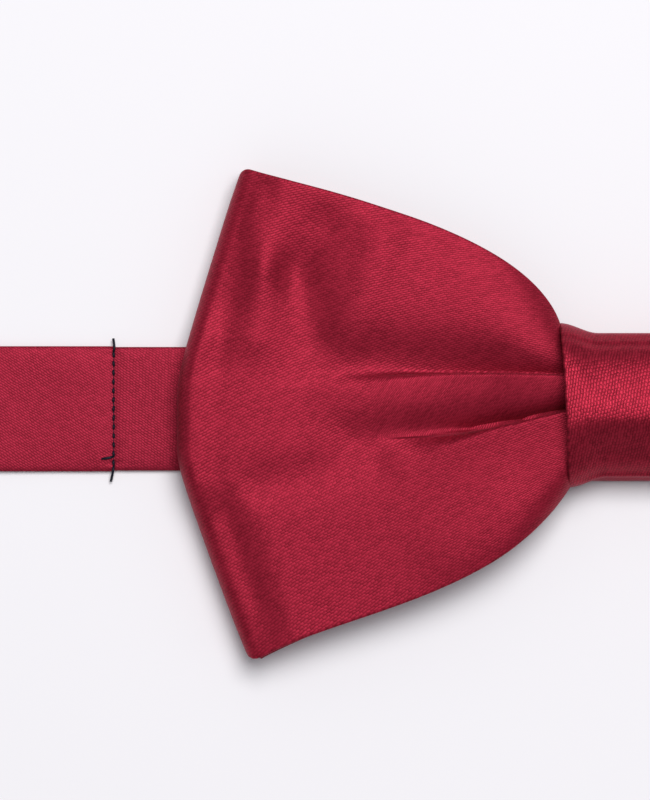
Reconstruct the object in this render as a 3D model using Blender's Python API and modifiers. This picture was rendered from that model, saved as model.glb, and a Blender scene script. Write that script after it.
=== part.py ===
"""A pre-tied bow tie on an adjustable neckband, lying on its back.

Metres, +Z up. X runs along the band, Y across it and Z out of the bow's front.
The origin is behind the middle of the knot, on the surface that the band lies on.
"""

import math

import bmesh
import bpy
import numpy as np

MM = 0.001

# The bow: one strip folded into a loop on each side of the knot.
BOW_HALF_LENGTH = 60.4 * MM
WING_TOP = 30.1 * MM
WING_BOTTOM = -31.4 * MM
WING_CORNER = 51.4 * MM  # from the middle of the bow to a wing's corners
BOW_WALL = 0.5 * MM
LINING = 0.3 * MM
LINING_GAP = 0.25 * MM
FOLD_HEIGHT = 4.8 * MM  # of the rolled outer fold, over both walls
WING_HEIGHT = 10.2 * MM  # of the front wall's crown
WING_BACK = 1.5 * MM  # of the back wall, just above the band
PLEAT_DEPTH = 0.9 * MM
WAIST_HALF = 6.2 * MM  # of the gathered strip inside the knot
WAIST_BACK = 3.2 * MM
WAIST_FRONT = 8.4 * MM

# The knot: a strip wrapped round the waist, its ends overlapped behind.
KNOT_LENGTH = 23.6 * MM
KNOT_HALF = 9.05 * MM
KNOT_TOP = 11.8 * MM
KNOT_WALL = 0.5 * MM
KNOT_OVERLAP = 4.0 * MM
KNOT_CORNER = 1.2 * MM
KNOT_SIDE = 2.6 * MM  # height above which the section arches over the waist
KNOT_LAYER = 0.7 * MM  # from the outer layer to the one that it laps

# The band: flat tubes of satin with a stiff strip inside.
STRAP_WIDTH = 15.6 * MM
STRAP = 1.0 * MM
STRAP_WALL = 0.22 * MM
STRAP_LINING = 0.26 * MM
SEAM = 68.4 * MM
SEAM_GAP = 0.3 * MM  # half of the gap between the pieces that a seam joins
BAND_RISE = 1.5 * MM  # where the band passes through the knot

# The hardware at the band's ends.
BAR_X = 188.0 * MM  # the bars that the band turns round
BAR_Z = 2.2 * MM
BAR_HALF = 0.6 * MM
TURN = 1.7 * MM  # radius of the strap's middle round a bar
PLATE = 0.8 * MM
FRAME_HALF = 9.8 * MM
FRAME_INSIDE = 8.1 * MM
SLIDER_X = 138.0 * MM
SLIDER_Z = 2.8 * MM
SLIDER_TURN = 1.1 * MM
TOUCH = 0.3 * MM  # gap between pieces that touch
THREAD = 0.15 * MM  # radius of the sewing thread
STITCH = 2.26 * MM  # a stitch and the gap after it, twice
TONGUE_HALF = 2.0 * MM  # half the width of the hook's tongue
TONGUE_END = 11.5 * MM  # from the bar to where the tongue curls under
TONGUE_CURL = 0.85 * MM
WINDOW_HALF = 3.5 * MM  # half the height of the eye's window
SLOT_END = 3.4 * MM  # from a bar to the far side of its strap slot
WEB_MARGIN = 1.6 * MM  # how much narrower a strap's stiff strip is than the strap

# How finely the cloth is drawn.
ACROSS = 15  # points across the wings
ALONG = 11  # stations along a wing's front, its ends included


def collection(name):
    made = bpy.data.collections.new(name)
    bpy.context.scene.collection.children.link(made)
    return made


def material(name, colour, roughness, metallic=0.0):
    made = bpy.data.materials.new(name)
    made.use_nodes = True
    shader = made.node_tree.nodes["Principled BSDF"]
    shader.inputs["Base Color"].default_value = (*colour, 1.0)
    shader.inputs["Roughness"].default_value = roughness
    shader.inputs["Metallic"].default_value = metallic
    made.diffuse_color = (*colour, 1.0)
    return made


def part(name, data, surface):
    data.materials.append(surface)
    made = bpy.data.objects.new(name, data)
    PARTS.objects.link(made)
    return made


def solidify(thing, thickness, offset=0.0):
    wall = thing.modifiers.new("Wall", "SOLIDIFY")
    wall.thickness = thickness
    wall.offset = offset
    wall.use_even_offset = True


def flat_curve(name, points, closed=False):
    """A curve in its own XY plane, straight between its points."""
    data = bpy.data.curves.new(name, "CURVE")
    data.dimensions = "2D"
    data.fill_mode = "NONE"
    spline = data.splines.new("POLY")
    spline.use_cyclic_u = closed
    spline.points.add(len(points) - 1)
    for knot, (across, up) in zip(spline.points, points):
        knot.co = (across, up, 0.0, 1.0)
    return data


def ribbon_along_x(name, points, width, thickness, surface):
    """A flat strip of cloth whose middle follows points (x, z), as wide as width along Y."""
    data = flat_curve(name, points)
    data.extrude = width / 2
    made = part(name, data, surface)
    made.rotation_euler = (math.pi / 2, 0.0, 0.0)
    solidify(made, thickness)
    return made


def sleeve(name, points, surface):
    """A flat sewn tube, open at both ends, whose middle follows points (x, z)."""
    data = flat_curve(name, points)
    data.dimensions = "3D"
    data.bevel_mode = "OBJECT"
    data.bevel_object = STRAP_SECTION
    data.twist_mode = "MINIMUM"
    made = part(name, data, surface)
    made.rotation_euler = (math.pi / 2, 0.0, 0.0)
    solidify(made, STRAP_WALL, offset=-1.0)
    return made


def thread(name, points, surface):
    """A sewing thread through points (x, y, z)."""
    data = bpy.data.curves.new(name, "CURVE")
    data.dimensions = "3D"
    data.bevel_depth = THREAD
    data.bevel_resolution = 0
    data.use_fill_caps = True
    spline = data.splines.new("POLY")
    spline.points.add(len(points) - 1)
    for knot, place in zip(spline.points, points):
        knot.co = (*place, 1.0)
    return part(name, data, surface)


def arc(across, up, radius, first, last, steps=4):
    """Points on a circle round (across, up), from first to last degrees."""
    angles = np.radians(np.linspace(first, last, steps + 1))
    return [(across + radius * math.cos(a), up + radius * math.sin(a)) for a in angles]


def turn(x, z, radius, side):
    """Half a circle in XZ from under the point (x, z) to over it, on the +X or -X side."""
    return arc(x, z, radius, -90, 90, 6) if side > 0 else arc(x, z, radius, 270, 90, 6)


def stamped(name, cells, bends, x, z, side, surface):
    """Sheet metal: cells (x0, x1, y0, y1) and a tongue bent through bends (x, z), y0 to y1."""
    shape = bmesh.new()
    corners = {}

    def corner(across, along, up=0.0):
        key = (round(across / MM, 4), round(along / MM, 4), round(up / MM, 4))
        if key not in corners:
            corners[key] = shape.verts.new((x + side * across, along, z + up))
        return corners[key]

    for x0, x1, y0, y1 in cells:
        shape.faces.new([corner(x0, y0), corner(x1, y0), corner(x1, y1), corner(x0, y1)])
    for (xa, za), (xb, zb) in zip(bends, bends[1:]):
        y0, y1 = -TONGUE_HALF, TONGUE_HALF
        shape.faces.new(
            [corner(xa, y0, za), corner(xb, y0, zb), corner(xb, y1, zb), corner(xa, y1, za)]
        )
    bmesh.ops.recalc_face_normals(shape, faces=shape.faces)
    data = bpy.data.meshes.new(name)
    shape.to_mesh(data)
    shape.free()
    made = part(name, data, surface)
    solidify(made, PLATE)
    return made


def grid_cells(xs, ys, empty):
    """Every cell between the lines xs and ys, apart from the (column, row) pairs in empty."""
    return [
        (xs[i], xs[i + 1], ys[j], ys[j + 1])
        for i in range(len(xs) - 1)
        for j in range(len(ys) - 1)
        if (i, j) not in empty
    ]


# ---------------------------------------------------------------- the wings


def smoothstep(low, high, value):
    t = np.clip((value - low) / (high - low), 0.0, 1.0)
    return t * t * (3.0 - 2.0 * t)


def bezier(a, b, c, d, t):
    """The cubic curve from a to d, pulled towards b and c."""
    return (1 - t) ** 3 * a + 3 * t * (1 - t) ** 2 * b + 3 * t * t * (1 - t) * c + t**3 * d


def wing_plan(u, v):
    """x and y of a wing: u runs from the knot (0) to the fold (1), v from bottom to top."""
    neck = KNOT_LENGTH / 2
    flare = neck + 6.0 * MM
    x_low = bezier(neck, flare, 38.0 * MM, WING_CORNER, u)
    x_high = bezier(neck, flare - 1.5 * MM, 42.0 * MM, WING_CORNER, u)
    y_low = bezier(-WAIST_HALF, -21.0 * MM, -25.0 * MM, WING_BOTTOM, u)
    y_high = bezier(WAIST_HALF, 20.0 * MM, 26.8 * MM, WING_TOP, u)
    bulge = (BOW_HALF_LENGTH - WING_CORNER) * (1.0 - np.abs(2.0 * v - 1.0) ** 1.3)
    x = x_low + (x_high - x_low) * v + bulge * u**3
    return x, y_low + (y_high - y_low) * v


def wing_front(u, v):
    """Height of the front wall: a crown that falls to the fold and to both edges, with pleats."""
    across = 1.0 - np.abs(2.0 * v - 1.0) ** 2.4
    edge = WING_BACK + FOLD_HEIGHT
    low = edge + (WAIST_FRONT - edge) * (1.0 - smoothstep(0.0, 0.5, u)) * 0.3
    crown = WAIST_FRONT + (WING_HEIGHT - WAIST_FRONT) * smoothstep(0.0, 0.35, u)
    crown = crown + (edge - crown) * smoothstep(0.45, 1.0, u)
    pleats = np.exp(-(((v - 0.62) / 0.07) ** 2)) + np.exp(-(((v - 0.36) / 0.07) ** 2))
    return low + (crown - low) * across - PLEAT_DEPTH * pleats * (1.0 - u) * smoothstep(0, 0.1, u)


def bow_surface(reach):
    """One half of the folded strip, from the middle of its front round the fold to its back.

    It is an open sheet of points (x, y, z) that stops at the plane x = 0, as high as
    reach times the strip's width.
    """
    v = 0.5 + reach * (np.linspace(0.0, 1.0, ACROSS) - 0.5)
    level = np.ones(ACROSS)
    rows = []
    for x in (0.0, KNOT_LENGTH / 4, KNOT_LENGTH / 2 - MM):
        height = wing_front(0.0 * level, v)
        rows.append((x * level, WAIST_HALF * (2.0 * v - 1.0), height))
    for u in np.linspace(0.0, 1.0, ALONG)[1:-1]:
        x, y = wing_plan(u * level, v)
        rows.append((x, y, wing_front(u * level, v)))
    x_fold, y_fold = wing_plan(level, v)
    radius = FOLD_HEIGHT / 2
    for angle in np.radians((90, 55, 20, -20, -55, -90)):
        x = x_fold - radius * (1.0 - math.cos(angle))
        rows.append((x, y_fold, (WING_BACK + radius * (1.0 + math.sin(angle))) * level))
    for u in (0.82, 0.64, 0.46, 0.28, 0.12):
        x, y = wing_plan(u * level, v)
        back = WAIST_BACK + (WING_BACK - WAIST_BACK) * smoothstep(0.0, 0.5, u)
        rows.append((x, y, back * level))
    for x in (KNOT_LENGTH / 2 - MM, 0.0):
        rows.append((x * level, WAIST_HALF * (2.0 * v - 1.0), WAIST_BACK * level))
    return np.array(rows).transpose(0, 2, 1)


def bow_layer(name, reach, inward, thickness, surface):
    """A layer of the folded strip, its outer face inward below the strip's own outer face."""
    points = bow_surface(reach)
    rows, columns = points.shape[:2]
    shape = bmesh.new()
    verts = [[shape.verts.new(p) for p in row] for row in points]
    for i in range(rows - 1):
        for j in range(columns - 1):
            shape.faces.new([verts[i][j], verts[i + 1][j], verts[i + 1][j + 1], verts[i][j + 1]])
    data = bpy.data.meshes.new(name)
    shape.to_mesh(data)
    shape.free()
    made = part(name, data, surface)
    mirror = made.modifiers.new("Other wing", "MIRROR")
    mirror.merge_threshold = 0.0001
    if inward:
        sink = made.modifiers.new("Inside", "DISPLACE")
        sink.mid_level = 0.0
        sink.strength = -inward
    solidify(made, thickness, offset=-1.0)
    return made


# ---------------------------------------------------------------- the knot


def knot_arch(inset):
    """The knot's section over the waist, points (y, z) from +Y to -Y, inset inwards."""
    half = KNOT_HALF - inset
    height = KNOT_TOP - inset - KNOT_SIDE
    angles = np.radians(np.linspace(0, 180, 17))
    return [
        (
            half * math.copysign(abs(math.cos(a)) ** 0.55, math.cos(a)),
            KNOT_SIDE + height * math.sin(a) ** 0.8,
        )
        for a in angles
    ]


# ---------------------------------------------------------------- the scene


for old in list(bpy.data.objects):
    bpy.data.objects.remove(old)
PARTS = collection("bow_tie")
GUIDES = collection("guides")

SATIN = material("burgundy_satin", (0.33, 0.022, 0.045), 0.45)
WEB = material("interlining", (0.82, 0.80, 0.75), 0.9)
NAVY = material("navy_thread", (0.02, 0.025, 0.06), 0.6)
RED = material("burgundy_thread", (0.25, 0.015, 0.03), 0.6)
STEEL = material("nickel_plate", (0.75, 0.74, 0.72), 0.25, 1.0)

# The strap's section, which every sleeve of the band is swept with.
half_y = STRAP_WIDTH / 2
half_z = STRAP / 2
section = [
    (half_z, half_y - half_z),
    (half_z, -half_y + half_z),
    (0.4 * half_z, -half_y),
    (-0.4 * half_z, -half_y),
    (-half_z, -half_y + half_z),
    (-half_z, half_y - half_z),
    (-0.4 * half_z, half_y),
    (0.4 * half_z, half_y),
]
STRAP_SECTION = bpy.data.objects.new("strap_section", flat_curve("strap_section", section, closed=True))
STRAP_SECTION.hide_render = True
GUIDES.objects.link(STRAP_SECTION)

bow_layer("bow_loop", 1.0, 0.0, BOW_WALL, SATIN)
bow_layer("bow_interlining", 0.93, BOW_WALL + LINING_GAP, LINING, WEB)

# The thread goes three times round the waist, just clear of the strip. A power below 1
# squares the ring off: more behind, round the strip's edges, than over its front.
turns = np.linspace(0.0, 3.0, 73)
angle = 2.0 * math.pi * turns
square = np.where(np.sin(angle) > 0.0, 0.4, 0.25)
ring_y = (WAIST_HALF + 0.75 * MM) * np.sign(np.cos(angle)) * np.abs(np.cos(angle)) ** square
ring_z = 3.0 * MM * np.sign(np.sin(angle)) * np.abs(np.sin(angle)) ** square
ring_x = 0.8 * MM * (turns - 1.5)
thread("gather_thread", np.stack([ring_x, ring_y, 5.8 * MM + ring_z], 1), RED)

# The strip starts inside the lap, goes round the waist and ends outside.
lap_out = KNOT_WALL / 2
lap_in = lap_out + KNOT_LAYER
corner_y = KNOT_HALF - KNOT_WALL / 2 - KNOT_CORNER
knot_round = [(-KNOT_OVERLAP, lap_in)]
knot_round += arc(corner_y, lap_in + KNOT_CORNER, KNOT_CORNER, -90, 0)
knot_round += knot_arch(KNOT_WALL / 2)
knot_round += arc(-corner_y, lap_out + KNOT_CORNER, KNOT_CORNER, 180, 270)
knot_round += [(KNOT_OVERLAP, lap_out)]
wrap = flat_curve("knot_wrap", knot_round)
wrap.extrude = KNOT_LENGTH / 2
knot = part("knot_wrap", wrap, SATIN)
knot.rotation_euler = (math.pi / 2, 0.0, math.pi / 2)
solidify(knot, KNOT_WALL)

lining = flat_curve("knot_interlining", knot_arch(KNOT_WALL + LINING_GAP + LINING / 2))
lining.extrude = KNOT_LENGTH / 2 - MM
knot_lining = part("knot_interlining", lining, WEB)
knot_lining.rotation_euler = (math.pi / 2, 0.0, math.pi / 2)
solidify(knot_lining, LINING)

# Whip stitches over the lap's edge, in the step that it makes.
whip = []
for step in range(15):
    whip_x = (step - 7) * 1.4 * MM
    whip.append((whip_x, KNOT_OVERLAP + (0.45 if step % 2 else 1.1) * MM, 0.5 * MM))
thread("knot_closing_stitch", whip, RED)

# The band behind the bow, from seam to seam.
bridge = [
    (-SEAM + SEAM_GAP, STRAP / 2),
    (-30.0 * MM, STRAP / 2),
    (-13.0 * MM, STRAP / 2 + BAND_RISE),
    (13.0 * MM, STRAP / 2 + BAND_RISE),
    (30.0 * MM, STRAP / 2),
    (SEAM - SEAM_GAP, STRAP / 2),
]
sleeve("bridge_band", bridge, SATIN)
ribbon_along_x("bridge_interlining", bridge, STRAP_WIDTH - WEB_MARGIN, STRAP_LINING, WEB)

# The seams, with the thread's ends standing out past the band's edges.
for side, name in ((-1, "left_seam_stitch"), (1, "right_seam_stitch")):
    along = np.arange(-STRAP_WIDTH / 2 - 1.2 * MM, STRAP_WIDTH / 2 + 1.0 * MM, STITCH / 4)
    rise = STRAP / 2 + 0.2 * MM * np.sin(2.0 * math.pi * along / STITCH)
    thread(name, np.stack([np.full(len(along), side * SEAM), along, rise], 1), NAVY)

# The left strap goes under the eye's bar, round it and back over itself.
fold_back = BAR_X - 14.0 * MM
left = [(-SEAM - SEAM_GAP, STRAP / 2), (-BAR_X + 3.0 * MM, STRAP / 2)]
left += turn(-BAR_X, BAR_Z, TURN, -1)
left += [(-fold_back, BAR_Z + TURN)]
sleeve("left_strap", left, SATIN)
ribbon_along_x(
    "left_strap_interlining",
    [(-SEAM - MM, STRAP / 2), (-BAR_X + 5.0 * MM, STRAP / 2)],
    STRAP_WIDTH - WEB_MARGIN,
    STRAP_LINING,
    WEB,
)

# The right strap: its main run to the hook, the turn round the hook's bar, and the
# run back to the slider, one strip that the slider takes up or lets out.
turn_leg = BAR_X - 4.0 * MM
ribbon_top = BAR_Z + TURN
sleeve(
    "right_strap", [(SEAM + SEAM_GAP, STRAP / 2), (turn_leg - TOUCH, STRAP / 2)], SATIN
)
ribbon_along_x(
    "right_strap_interlining",
    [(SEAM + MM, STRAP / 2), (turn_leg - MM, STRAP / 2)],
    STRAP_WIDTH - WEB_MARGIN,
    STRAP_LINING,
    WEB,
)
hook_turn = [(turn_leg, STRAP / 2)] + turn(BAR_X, BAR_Z, TURN, 1) + [(turn_leg, ribbon_top)]
sleeve("right_strap_turn", hook_turn, SATIN)
wrap_x = SLIDER_X - 0.2 * MM
tail = SLIDER_X + 9.0 * MM
back = [(tail, SLIDER_Z - SLIDER_TURN)] + turn(wrap_x, SLIDER_Z, SLIDER_TURN, -1)
back += [(turn_leg - TOUCH, ribbon_top)]
sleeve("right_strap_return", back, SATIN)


def tack(name, x, z):
    """A row of zigzag stitches across the band, on its upper face."""
    steps = 16
    rows = [
        (x + (1.0 if step % 2 else -1.0) * MM, (step / steps - 0.5) * (STRAP_WIDTH - 2 * MM), z)
        for step in range(steps + 1)
    ]
    thread(name, rows, RED)


over_top = STRAP / 2 + THREAD + 0.05 * MM
tack("left_end_tack", -BAR_X + 9.0 * MM, ribbon_top + over_top)
tack("slider_tack", SLIDER_X + 6.5 * MM, ribbon_top + over_top)

# Stamped hardware. Every piece is laid out from the middle of its own bar.
frame_y = [-FRAME_HALF, -FRAME_INSIDE, FRAME_INSIDE, FRAME_HALF]

slider_x = [-6.2 * MM, -4.8 * MM, -0.45 * MM, 0.45 * MM, 4.8 * MM, 6.2 * MM]
slider_cells = grid_cells(slider_x, frame_y, {(1, 1), (3, 1)})
stamped("slider", slider_cells, [], SLIDER_X, SLIDER_Z, 1, STEEL)

hook_x = [-BAR_HALF, BAR_HALF, SLOT_END, 5.4 * MM]
hook_y = [-FRAME_HALF, -FRAME_INSIDE, -TONGUE_HALF, TONGUE_HALF, FRAME_INSIDE, FRAME_HALF]
hook_cells = grid_cells(hook_x, hook_y, {(1, 1), (1, 2), (1, 3)})
bends = [(5.4 * MM, 0.0), (8.5 * MM, 0.0)]
bends += arc(TONGUE_END, -TONGUE_CURL, TONGUE_CURL, 90, -90)
bends += [(8.6 * MM, -2 * TONGUE_CURL)]
stamped("hook", hook_cells, bends, BAR_X, BAR_Z, 1, STEEL)

eye_x = [-BAR_HALF, BAR_HALF, SLOT_END, 4.8 * MM, 9.8 * MM, 11.2 * MM]
eye_y = [-FRAME_HALF, -FRAME_INSIDE, -WINDOW_HALF, WINDOW_HALF, FRAME_INSIDE, FRAME_HALF]
eye_cells = grid_cells(eye_x, eye_y, {(1, 1), (1, 2), (1, 3), (3, 2)})
stamped("eye", eye_cells, [], -BAR_X, BAR_Z, -1, STEEL)
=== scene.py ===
"""A pre-tied burgundy bow tie on its neckband, lying on its back, seen from in front.

The row frame is kept: metres, X along the band, Y across it, Z out of the bow's front.
"""

import math

import bpy
import numpy as np
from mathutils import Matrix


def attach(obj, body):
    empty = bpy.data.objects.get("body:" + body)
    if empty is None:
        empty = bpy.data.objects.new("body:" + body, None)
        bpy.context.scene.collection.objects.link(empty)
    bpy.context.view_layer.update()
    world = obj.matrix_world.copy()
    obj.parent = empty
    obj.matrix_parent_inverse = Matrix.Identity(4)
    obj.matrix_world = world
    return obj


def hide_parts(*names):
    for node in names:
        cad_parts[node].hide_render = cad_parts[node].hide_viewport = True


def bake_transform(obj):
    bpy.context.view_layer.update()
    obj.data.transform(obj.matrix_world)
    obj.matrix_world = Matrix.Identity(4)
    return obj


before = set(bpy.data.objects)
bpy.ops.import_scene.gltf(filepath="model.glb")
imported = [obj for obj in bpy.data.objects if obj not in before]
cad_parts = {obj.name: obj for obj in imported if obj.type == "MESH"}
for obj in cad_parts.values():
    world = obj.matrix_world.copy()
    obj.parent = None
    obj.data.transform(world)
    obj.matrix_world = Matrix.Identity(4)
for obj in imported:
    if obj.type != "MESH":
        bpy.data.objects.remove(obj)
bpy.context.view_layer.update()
MM = 0.001

# ---------------------------------------------------------------------------
# The bow. One strip of polyester satin, sewn into a flat tube and folded into a loop on
# each side, so that each wing has a front wall, a rolled outer fold and a back wall. The
# front is laid in two pleats that run out of the knot and fade across the wing.
# ---------------------------------------------------------------------------


def smoothstep(low, high, value):
    """0 below low, 1 above high, and the cubic 3t^2 - 2t^3 between them."""
    t = np.clip((value - low) / (high - low), 0.0, 1.0)
    return t * t * (3.0 - 2.0 * t)


def bezier(a, b, c, d, t):
    """The cubic curve from a to d with its handles at b and c."""
    return (1 - t) ** 3 * a + 3 * t * (1 - t) ** 2 * b + 3 * t * t * (1 - t) * c + t**3 * d


def grid_normals(points):
    """Unit normals of a grid of points (path, across, xyz), from its two tangents."""
    normals = np.cross(np.gradient(points, axis=0), np.gradient(points, axis=1))
    return normals / np.maximum(np.linalg.norm(normals, axis=2, keepdims=True), 1e-12)


def cloth_mesh(name, points, cloth, closed_path, surface):
    """A closed mesh from a grid of points (path, ring, xyz), the ring always closed.

    cloth holds where each point lies on the flat cloth (along, across), in metres. An
    open path gets a face over each end.
    """
    stations, ring = points.shape[:2]
    rows = np.arange(stations if closed_path else stations - 1)[:, None]
    columns = np.arange(ring)[None, :]
    after_row, after_column = (rows + 1) % stations, (columns + 1) % ring
    quads = np.stack(
        [
            rows * ring + columns,
            after_row * ring + columns,
            after_row * ring + after_column,
            rows * ring + after_column,
        ],
        axis=2,
    ).reshape(-1, 4)
    faces = quads.tolist()
    if not closed_path:
        faces.append(list(range(ring)))
        faces.append([(stations - 1) * ring + i for i in reversed(range(ring))])
    mesh = bpy.data.meshes.new(name)
    mesh.from_pydata(points.reshape(-1, 3).tolist(), [], faces)
    corners = np.empty(len(mesh.loops), dtype=np.int32)
    mesh.loops.foreach_get("vertex_index", corners)
    layer = mesh.uv_layers.new(name="cloth")
    layer.data.foreach_set("uv", cloth.reshape(-1, 2)[corners].astype(np.float32).ravel())
    mesh.shade_smooth()
    mesh.materials.append(surface)
    made = bpy.data.objects.new(name, mesh)
    bpy.context.scene.collection.objects.link(made)
    faces_out(made)
    return made


def faces_out(made):
    """Turns a closed mesh right side out: six times its volume is the sum of its faces'
    triple products, which is negative on one that is inside out."""
    mesh = made.data
    mesh.calc_loop_triangles()
    corners = np.empty(len(mesh.loop_triangles) * 3, dtype=np.int32)
    mesh.loop_triangles.foreach_get("vertices", corners)
    places = np.empty(len(mesh.vertices) * 3)
    mesh.vertices.foreach_get("co", places)
    if np.linalg.det(places.reshape(-1, 3)[corners.reshape(-1, 3)]).sum() < 0:
        mesh.flip_normals()


def value_node(tree, operation, first, second=None):
    """A Math node, whose inputs are sockets or numbers; its output is returned."""
    node = tree.nodes.new("ShaderNodeMath")
    node.operation = operation
    for socket, given in zip(node.inputs, (first, second)):
        if isinstance(given, (int, float)):
            socket.default_value = given
        elif given is not None:
            tree.links.new(given, socket)
    return node.outputs[0]


def new_finish(name):
    """A new material, its node tree and its shader."""
    made = bpy.data.materials.new(name)
    made.use_nodes = True
    return made, made.node_tree, made.node_tree.nodes["Principled BSDF"]


def noise_node(tree, place, scale, detail):
    """A noise texture over place; its Fac output runs from 0 to 1."""
    node = tree.nodes.new("ShaderNodeTexNoise")
    node.inputs["Scale"].default_value = scale
    node.inputs["Detail"].default_value = detail
    tree.links.new(place, node.inputs["Vector"])
    return node


def two_tones(tree, shader, amount, dark, light):
    """Colours the shader from dark, where amount is 0, to light, where it is 1."""
    mixed = tree.nodes.new("ShaderNodeMix")
    mixed.data_type = "RGBA"
    mixed.inputs[6].default_value = (*dark, 1.0)
    mixed.inputs[7].default_value = (*light, 1.0)
    tree.links.new(amount, mixed.inputs[0])
    tree.links.new(mixed.outputs[2], shader.inputs["Base Color"])


def raised(tree, shader, height, distance):
    """Raises the surface by distance, in metres, where height is 1."""
    bump = tree.nodes.new("ShaderNodeBump")
    bump.inputs["Strength"].default_value = 1.0
    bump.inputs["Distance"].default_value = distance
    tree.links.new(height, bump.inputs["Height"])
    tree.links.new(bump.outputs["Normal"], shader.inputs["Normal"])


def twill_group():
    """Satin twill: floats of thread laid end to end on lines, side by side.

    Counted in lines one way and floats the other, each line's floats are shifted by 0.4 of
    a float from its neighbour's. Height is highest on the middle of a float and lowest
    between lines and between floats. Tint is one random value for each float, and Slub
    the slow unevenness of the yarn.
    """
    tree = bpy.data.node_groups.new("satin_twill", "ShaderNodeTree")
    sockets = tree.interface
    sockets.new_socket("Cloth", in_out="INPUT", socket_type="NodeSocketVector")
    for name, standard in (("Line pitch", 0.0003), ("Float length", 0.0005), ("Lean", 0.0)):
        socket = sockets.new_socket(name, in_out="INPUT", socket_type="NodeSocketFloat")
        socket.default_value = standard
    for name in ("Height", "Tint", "Slub"):
        sockets.new_socket(name, in_out="OUTPUT", socket_type="NodeSocketFloat")
    inside = tree.nodes.new("NodeGroupInput")
    outside = tree.nodes.new("NodeGroupOutput")
    turned = tree.nodes.new("ShaderNodeVectorRotate")
    turned.rotation_type = "Z_AXIS"
    tree.links.new(inside.outputs["Cloth"], turned.inputs["Vector"])
    tree.links.new(inside.outputs["Lean"], turned.inputs["Angle"])
    split = tree.nodes.new("ShaderNodeSeparateXYZ")
    tree.links.new(turned.outputs["Vector"], split.inputs["Vector"])
    waver = noise_node(tree, inside.outputs["Cloth"], 900.0, 2.0)
    shift = value_node(tree, "MULTIPLY", waver.outputs["Fac"], 1.1)
    count = value_node(tree, "DIVIDE", split.outputs["Y"], inside.outputs["Line pitch"])
    line = value_node(tree, "ADD", count, shift)
    line_number = value_node(tree, "FLOOR", line)
    step = value_node(tree, "MULTIPLY", line_number, 0.4)
    along = value_node(tree, "DIVIDE", split.outputs["X"], inside.outputs["Float length"])
    place = value_node(tree, "ADD", value_node(tree, "ADD", along, step), shift)
    across_line = value_node(tree, "SINE", value_node(tree, "MULTIPLY", line, math.pi))
    across_line = value_node(tree, "ABSOLUTE", across_line)
    along_float = value_node(tree, "SINE", value_node(tree, "MULTIPLY", place, math.pi))
    along_float = value_node(tree, "POWER", value_node(tree, "ABSOLUTE", along_float), 0.5)
    height = value_node(tree, "MULTIPLY", across_line, along_float)
    tree.links.new(height, outside.inputs["Height"])
    cell = tree.nodes.new("ShaderNodeCombineXYZ")
    tree.links.new(line_number, cell.inputs["X"])
    tree.links.new(value_node(tree, "FLOOR", place), cell.inputs["Y"])
    tint = tree.nodes.new("ShaderNodeTexWhiteNoise")
    tint.noise_dimensions = "2D"
    tree.links.new(cell.outputs["Vector"], tint.inputs["Vector"])
    tree.links.new(tint.outputs["Value"], outside.inputs["Tint"])
    slub = noise_node(tree, inside.outputs["Cloth"], 260.0, 3.0)
    tree.links.new(slub.outputs["Fac"], outside.inputs["Slub"])
    return tree


TWILL = twill_group()


def satin(name, shade, lit, lean, pitch, float_length, relief, gloss=0.45):
    """Burgundy satin: a coloured, soft gloss over a twill whose lines lean from the cloth's
    length by lean radians and stand relief metres high. Its colour goes from shade between
    the floats to lit on their middles, which is painted shade in the weave's grooves, over a
    random tint for each float and the yarn's slow unevenness. Gloss is from 0 to 1."""
    made, tree, shader = new_finish(name)
    cloth = tree.nodes.new("ShaderNodeUVMap")
    cloth.uv_map = "cloth"
    weave = tree.nodes.new("ShaderNodeGroup")
    weave.node_tree = TWILL
    weave.inputs["Lean"].default_value = lean
    weave.inputs["Line pitch"].default_value = pitch
    weave.inputs["Float length"].default_value = float_length
    tree.links.new(cloth.outputs["UV"], weave.inputs["Cloth"])
    uneven = value_node(tree, "MULTIPLY", weave.outputs["Slub"], 0.3)
    threads = value_node(tree, "MULTIPLY", weave.outputs["Height"], 0.7)
    tinted = value_node(tree, "MULTIPLY", weave.outputs["Tint"], 0.4)
    threads = value_node(tree, "ADD", threads, tinted)
    # Painted shade: the colour darkens where the weave is low, between lines and floats; the tint
    # and slub are the yarn's own.
    two_tones(tree, shader, value_node(tree, "ADD", uneven, threads), shade, lit)
    rough = value_node(tree, "MULTIPLY", weave.outputs["Slub"], 0.12)
    tree.links.new(value_node(tree, "ADD", rough, 0.57 - 0.3 * gloss), shader.inputs["Roughness"])
    raised(tree, shader, weave.outputs["Height"], relief)
    shader.inputs["Metallic"].default_value = gloss
    shader.inputs["Specular IOR Level"].default_value = 0.25
    shader.inputs["Specular Tint"].default_value = (1.0, 0.35, 0.45, 1.0)
    shader.inputs["Sheen Weight"].default_value = 0.05
    shader.inputs["Sheen Roughness"].default_value = 0.4
    shader.inputs["Sheen Tint"].default_value = (0.9, 0.45, 0.55, 1.0)
    return made


WING_SATIN = satin(
    "wing_satin",
    shade=(0.122, 0.0036, 0.0100),
    lit=(0.332, 0.0152, 0.037),
    lean=-0.42,
    pitch=0.00031,
    float_length=0.00066,
    relief=0.000022,
)

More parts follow.
